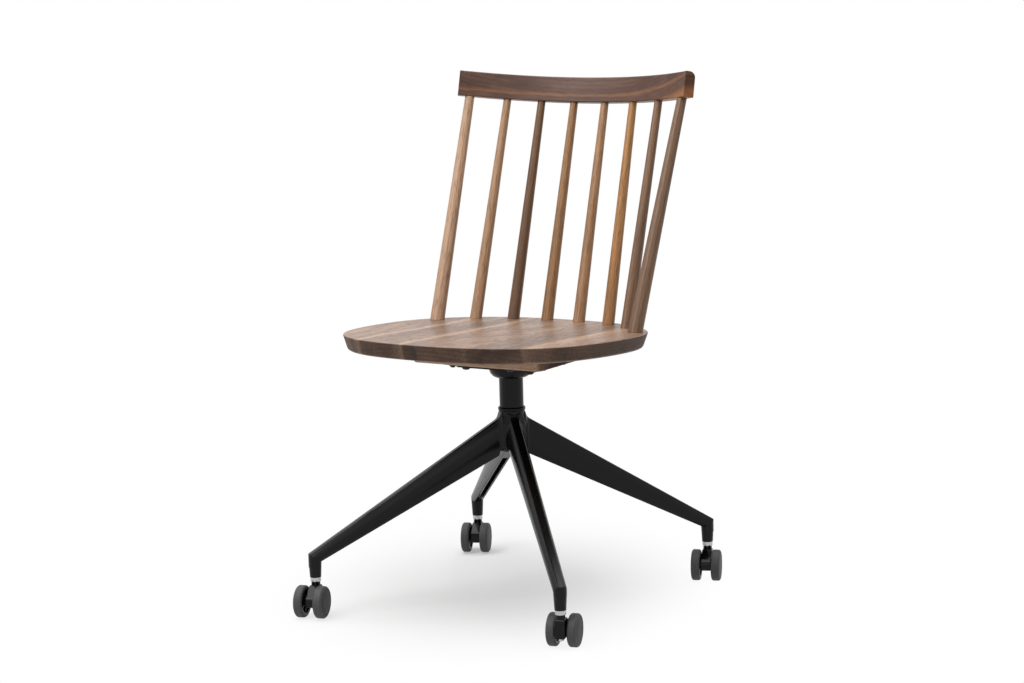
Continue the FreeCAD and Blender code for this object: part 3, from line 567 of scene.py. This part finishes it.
@dataclass
class Back:
    """Curved crest rail on eight tapered spindles.

    The rail's sapwood is given by the height over its foot, in metres, and
    each spindle by the tones of its heart and its dark growth lines, which
    differ from board to board and also carry painted shade, darker towards the right.
    """

    rail_pith: tuple[float, float] = (0.02, 0.05)
    rail_seed: float = 2.0
    rail_span: float = 60.0 * MM
    rail_lean: float = 13.13
    rail_foot: float = 802.1 * MM
    rail_grain_bend: float = 1.0
    rail_bend_start: float = 50.0 * MM
    rail_streaks: tuple = ((-0.06, 0.85), (-0.018, 0.8), (-0.006, 0.12), (0.0075, 0.0), (0.0105, 0.38),
                           (0.0135, 0.12), (0.016, 0.0), (0.06, 0.0))
    # Board-to-board tones, with painted shade that darkens them towards the right spindles
    tones: tuple = (("#b69275", "#96765d"), ("#aa8565", "#88664c"), ("#705035", "#4f3523"),
                    ("#9a724c", "#745336"), ("#a9805d", "#846245"), ("#ae7d4c", "#865d38"),
                    ("#826046", "#5e4533"), ("#775941", "#473528"))
    spindle_pith: tuple[float, float] = (0.05, 0.03)
    spindle_seed: float = 1.7
    tip_share: float = 0.03

    def spindle_grain(self, number: int) -> tuple[float, float, float]:
        """Direction of a spindle, read from the ends of its node.

        Args:
            number: Number of the spindle, from 1.

        Returns:
            A unit vector from foot to head.
        """
        points = [v.co for v in frame["nodes"]["spindle_%d" % number].data.vertices]
        low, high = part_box("spindle_%d" % number)
        reach = (high.z - low.z) * self.tip_share
        ends = []
        for level, side in ((low.z, 1.0), (high.z, -1.0)):
            near = [p for p in points if (p.z - level) * side < reach]
            ends.append(sum(near, Vector()) / len(near))
        return tuple((ends[1] - ends[0]).normalized())

    def rail_wood(self) -> Walnut:
        """Walnut of the rail, whose sapwood sweeps up at the right end.

        Returns:
            The rail's finish.
        """
        lean = math.radians(self.rail_lean)
        up_rail = (0.0, math.sin(lean), math.cos(lean))
        board = Board((1.0, 0.0, 0.0), self.rail_pith, self.rail_seed, up_rail, self.rail_foot,
                      self.rail_grain_bend, self.rail_bend_start)
        # Dark heartwood with a fine figure, whose sapwood the oil turns to a warm orange-brown
        return Walnut("crest_rail_walnut", board, dark="#422f27", heart="#553a2e", pale="#6a4e40",
                      sap="#a97348", sapwood=Patch.STREAKS, streaks=self.rail_streaks,
                      stave_span=self.rail_span, pore_strength=0.3, figure_width=16.0 * MM,
                      end_share=(0.75, 0.72, 0.7))

    def build(self) -> None:
        """Dress the rail and the spindles."""
        dress("crest_rail", self.rail_wood())
        # Each turned rod comes from another board, so the brown changes from spindle to spindle; the
        # tones are also painted darker towards the right, as painted shade
        for number, (heart, dark) in enumerate(self.tones, 1):
            board = Board(self.spindle_grain(number), self.spindle_pith, number * self.spindle_seed)
            finish = Walnut("spindle_walnut_%d" % number, board, heart=heart, dark=dark, pale=heart,
                            ring_spacing=5.0 * MM, figure_width=14.0 * MM)
            dress("spindle_%d" % number, finish)


@dataclass
class Swivel:
    """Swivel plate, column and the shaft in the hub."""

    coated: tuple = ("swivel_plate", "column_tube", "column_collar")
    ground: tuple = ("swivel_shaft", "retaining_washer", "retaining_clip")
    plastic: tuple = ("upper_bush", "lower_bush", "hub_cap")

    def build(self) -> None:
        """Dress the swivel's pieces."""
        finishes = ((self.coated, STEEL_BLACK), (self.ground, GROUND_STEEL), (self.plastic, ACETAL))
        for nodes, finish in finishes:
            for node in nodes:
                dress(node, finish)


@dataclass
class Base:
    """Four-arm base casting."""

    def build(self) -> None:
        """Dress the casting."""
        dress("base_casting", CAST_BLACK)


@dataclass
class Castors:
    """Four twin-wheel castors."""

    places: tuple = ("front_left", "front_right", "rear_right", "rear_left")

    def wheel(self, node: str) -> WheelPlastic:
        """Two-coloured plastic for one wheel, placed by its spin joint.

        Args:
            node: Name of the wheel's node.

        Returns:
            The wheel's finish.
        """
        joint = next(j for j in frame["joints"] if j["name"] == node + "_spin")
        side = 1.0 if node.endswith("right_wheel") else -1.0
        outward = tuple(side * share for share in joint["axis"])
        return WheelPlastic("moulded_" + node, "#0a0a0a", 0.35, 0.05, 0.9 * MM, 0.01 * MM, ior=1.4,
                            centre=tuple(joint["pos_m"]), outward=outward)

    def build(self) -> None:
        """Dress the castors' nodes."""
        finishes = {"sleeve": ACETAL, "stem": PLATED, "housing": NYLON_BLACK, "axle": GROUND_STEEL,
                    "left_tread": TREAD_GREY, "right_tread": TREAD_GREY}
        for name in self.places:
            for piece, finish in finishes.items():
                dress("%s_castor_%s" % (name, piece), finish)
            for side in ("left", "right"):
                node = "%s_castor_%s_wheel" % (name, side)
                dress(node, self.wheel(node))


@dataclass
class Softbox:
    """A square studio lamp that points at the chair."""

    name: str
    place: tuple[float, float, float]
    size: tuple[float, float]
    power: float
    target: tuple[float, float, float] = (0.0, 0.0, 0.4)

    def build(self) -> None:
        """Hang the lamp."""
        lamp = bpy.data.lights.new(self.name, "AREA")
        lamp.shape = "RECTANGLE"
        lamp.size, lamp.size_y = self.size
        lamp.energy = self.power
        thing = bpy.data.objects.new(self.name, lamp)
        bpy.context.scene.collection.objects.link(thing)
        thing.location = self.place
        aim = Vector(self.target) - Vector(self.place)
        thing.rotation_euler = aim.to_track_quat("-Z", "Y").to_euler()


@dataclass
class Studio:
    """Pale floor, white surroundings, soft lamps and the photograph's camera."""

    azimuth: float = 31.89
    height: float = 0.9987
    distance: float = 3.7677
    pitch: float = 8.92
    pan: float = -0.047
    roll: float = -1.50
    lens: float = 85.942
    sensor: float = 36.0
    view_reach: float = 200.0
    floor_size: float = 60.0
    floor_shade: str = "#e0e0e0"
    ambient: float = 0.17
    shadow_centre: tuple[float, float, float] = (-0.13, 0.06, 0.0)
    shadow_reach: tuple[float, float, float] = (0.42, 0.56, 1.0)
    fade: tuple[float, float] = (0.2, 1.05)
    least_white: float = 0.35
    lamps: list[Softbox] = field(default_factory=lambda: [
        Softbox("overhead", (-0.3, -0.25, 3.0), (3.8, 3.8), 140.0),
        Softbox("front_fill", (1.6, -3.2, 1.9), (2.0, 1.6), 5.0),
        Softbox("left_window", (-1.5, -2.5, 2.9), (2.0, 2.0), 46.0),
    ])

    def camera(self) -> None:
        """Set up the camera where the photograph was taken from."""
        a, p = math.radians(self.azimuth), math.radians(self.pitch)
        aim, r = math.radians(self.azimuth + self.pan), math.radians(self.roll)
        forward = Vector((-math.sin(aim) * math.cos(p), math.cos(aim) * math.cos(p), -math.sin(p)))
        right = Vector((math.cos(aim), math.sin(aim), 0.0))
        up = right.cross(forward)
        side = right * math.cos(r) + up * math.sin(r)
        top = up * math.cos(r) - right * math.sin(r)
        data = bpy.data.cameras.new("camera")
        data.lens = self.lens
        data.sensor_width = self.sensor
        data.clip_end = self.view_reach
        thing = bpy.data.objects.new("camera", data)
        bpy.context.scene.collection.objects.link(thing)
        turn = Matrix((side, top, -forward)).transposed().to_4x4()
        place = Vector((math.sin(a) * self.distance, -math.cos(a) * self.distance, self.height))
        thing.matrix_world = Matrix.Translation(place) @ turn
        bpy.context.scene.camera = thing

    def seen(self, tree: bpy.types.NodeTree) -> bpy.types.NodeSocket:
        """Tell the rays that show a surface, seen straight or in a reflection, from the rest.

        Args:
            tree: Node tree of the floor or the surroundings.

        Returns:
            Level of 1 for those rays and 0 for the others.
        """
        path = add(tree, "LightPath").outputs
        return add(tree, "Math", links={0: path["Is Camera Ray"], 1: path["Is Glossy Ray"]},
                   operation="MAXIMUM").outputs[0]

    def floor(self) -> None:
        """Lay the pale floor, which keeps the chair's shadow and fades to white round it."""
        mesh = bmesh.new()
        bmesh.ops.create_grid(mesh, x_segments=2, y_segments=2, size=self.floor_size)
        data = bpy.data.meshes.new("floor")
        mesh.to_mesh(data)
        mesh.free()
        made = bpy.data.materials.new("studio_floor")
        made.use_nodes = True
        tree = made.node_tree
        tree.nodes.clear()
        shade = add(tree, "BsdfDiffuse", {"Color": srgb(self.floor_shade)}).outputs[0]
        white = add(tree, "Emission", {"Strength": 1.0}).outputs[0]
        here = add(tree, "NewGeometry").outputs["Position"]
        turn = (0.0, 0.0, math.radians(self.azimuth))
        here = add(tree, "Mapping",
                   {"Location": self.shadow_centre, "Rotation": turn, "Scale": self.shadow_reach},
                   {"Vector": here}, vector_type="TEXTURE").outputs[0]
        radius = add(tree, "VectorMath", links={0: here}, operation="LENGTH").outputs["Value"]
        fade = add(tree, "MapRange", {1: self.fade[0], 2: self.fade[1], 3: self.least_white, 4: 1.0},
                   {0: radius}, interpolation_type="SMOOTHSTEP").outputs[0]
        share = add(tree, "Math", links={0: self.seen(tree), 1: fade}, operation="MULTIPLY").outputs[0]
        mixed = add(tree, "MixShader", links={0: share, 1: shade, 2: white}).outputs[0]
        add(tree, "OutputMaterial", links={"Surface": mixed})
        data.materials.append(made)
        thing = bpy.data.objects.new("floor", data)
        bpy.context.scene.collection.objects.link(thing)

    def world(self) -> None:
        """Make the surroundings white to the camera and in reflections, and a soft fill elsewhere."""
        scene = bpy.context.scene
        scene.world = bpy.data.worlds.new("studio")
        scene.world.use_nodes = True
        tree = scene.world.node_tree
        tree.nodes.clear()
        strength = add(tree, "MapRange", {3: self.ambient, 4: 1.0}, {0: self.seen(tree)}).outputs[0]
        light = add(tree, "Background", {"Color": (1.0, 1.0, 1.0, 1.0)},
                    {"Strength": strength}).outputs[0]
        add(tree, "OutputWorld", links={"Surface": light})

    def build(self) -> None:
        """Set the whole studio."""
        bpy.context.scene.view_settings.view_transform = "Standard"
        self.camera()
        self.floor()
        self.world()
        for lamp in self.lamps:
            lamp.build()


def main() -> None:
    """Build and dress the chair, then set the studio."""
    logging.basicConfig(level=logging.INFO, format="%(message)s")
    for part in (Seat(), Back(), Swivel(), Base(), Castors(), Studio()):
        part.build()
        LOG.info("finished %s", type(part).__name__)


if __name__ == "__main__":
    main()
